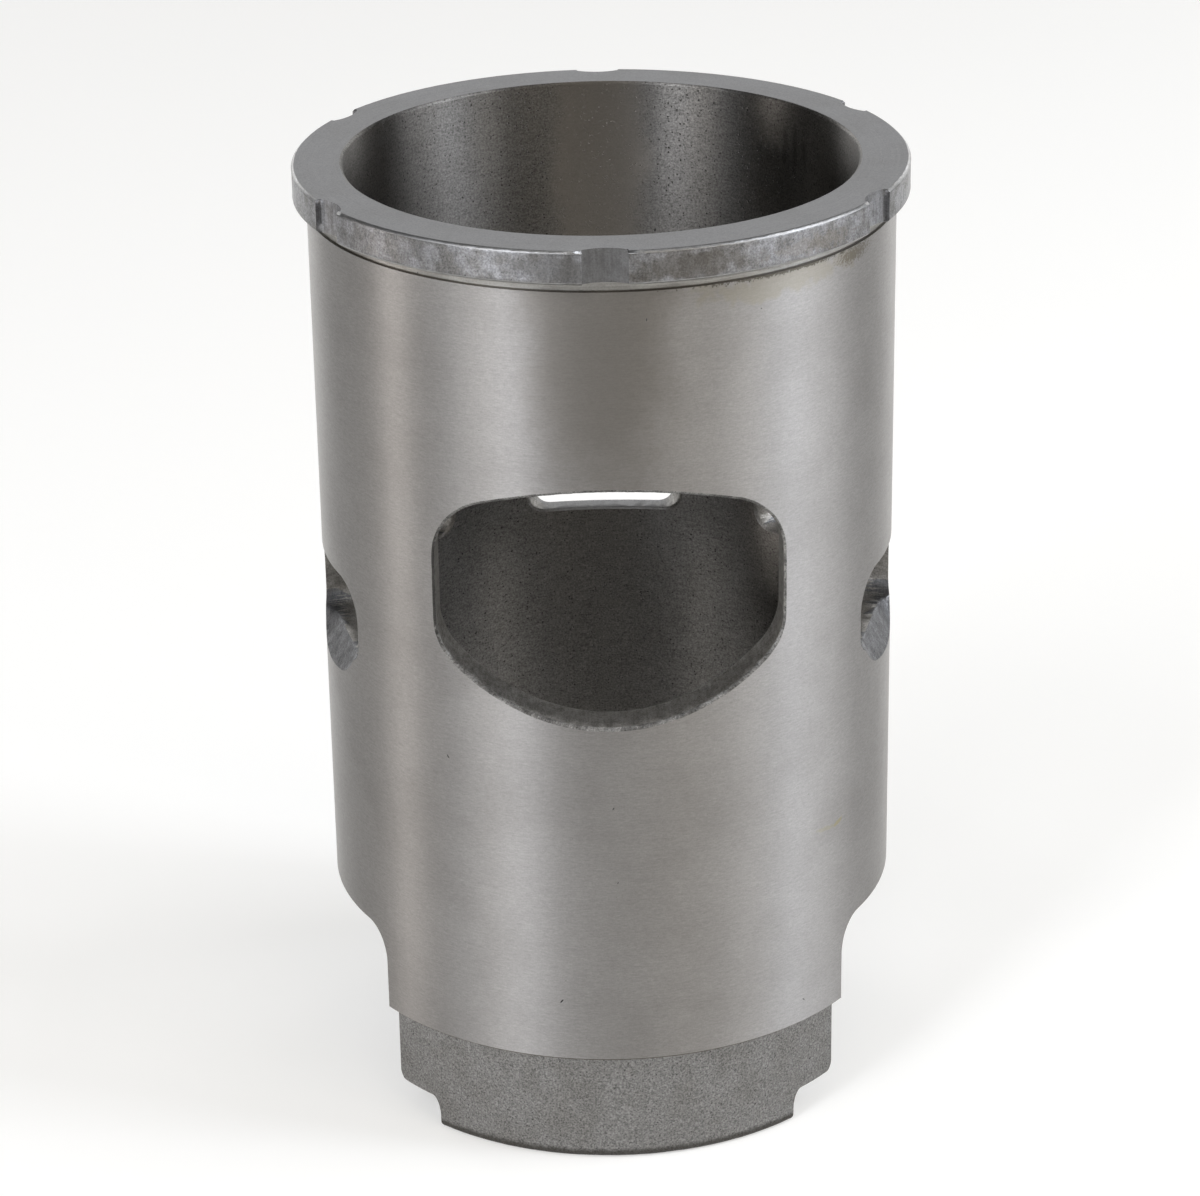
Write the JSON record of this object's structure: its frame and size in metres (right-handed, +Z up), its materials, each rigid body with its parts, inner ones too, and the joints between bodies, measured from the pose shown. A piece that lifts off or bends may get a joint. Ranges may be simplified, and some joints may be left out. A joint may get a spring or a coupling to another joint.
{
  "type": "cylinder liner",
  "caption": "Flanged two-stroke cylinder liner with a honed bore, exhaust, transfer and boost ports, notched rim and a skirt of two tongues.",
  "frame": {"origin": "on the bore's axis, in the plane of the skirt's feet, on which the liner stands upright", "axes": "+Z up along the bore's axis to the deck face, -Y out through the exhaust port, +Y out through the boost port, X towards the transfer ports"},
  "size_m": [0.0958, 0.0956, 0.1537],
  "materials": {
    "liner_iron": "fine ground outside, honed bore, turned flange, rough milled ports, as-cast skirt"
  },
  "bodies": {
    "root": {"cylinder_liner": "liner_iron"}
  },
  "joints": []
}
